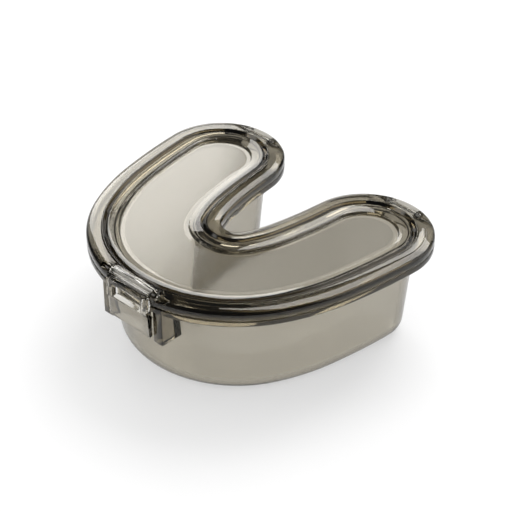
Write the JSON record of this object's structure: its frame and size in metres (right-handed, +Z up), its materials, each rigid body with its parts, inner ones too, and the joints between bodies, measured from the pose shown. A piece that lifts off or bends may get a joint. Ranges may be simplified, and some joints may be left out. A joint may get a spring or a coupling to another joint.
{
  "type": "aligner case",
  "caption": "Horseshoe shaped translucent case for dental aligners: drafted tub, lid hinged at both arm ends, and a front snap clip.",
  "frame": {"origin": "middle of the bounding box in plan, on the surface that the case stands on", "axes": "+Z up, the front clip faces -Y, the two hinged arm ends face +Y, X runs across the case"},
  "size_m": [0.0878, 0.0776, 0.0329],
  "materials": {
    "tub": "frosted, smoky translucent",
    "lid": "smoky clear, gloss rim and satin panel",
    "clip": "smoky clear gloss",
    "pins": "bright drawn wire"
  },
  "bodies": {
    "tub": {"tub": "tub", "hinge_pin_left": "pins", "hinge_pin_right": "pins"},
    "lid": {"lid": "lid", "latch_pin": "pins"},
    "clip": {"latch_clip": "clip"}
  },
  "joints": [
    {"name": "lid_hinge", "type": "hinge", "parent": "tub", "child": "lid", "pos_m": [0, 0.03616, 0.0301], "axis": [-1, 0, 0], "range_deg": [0, 115]},
    {"name": "clip_hinge", "type": "hinge", "parent": "lid", "child": "clip", "pos_m": [0, -0.03583, 0.0309], "axis": [-1, 0, 0], "range_deg": [0, 115]}
  ]
}
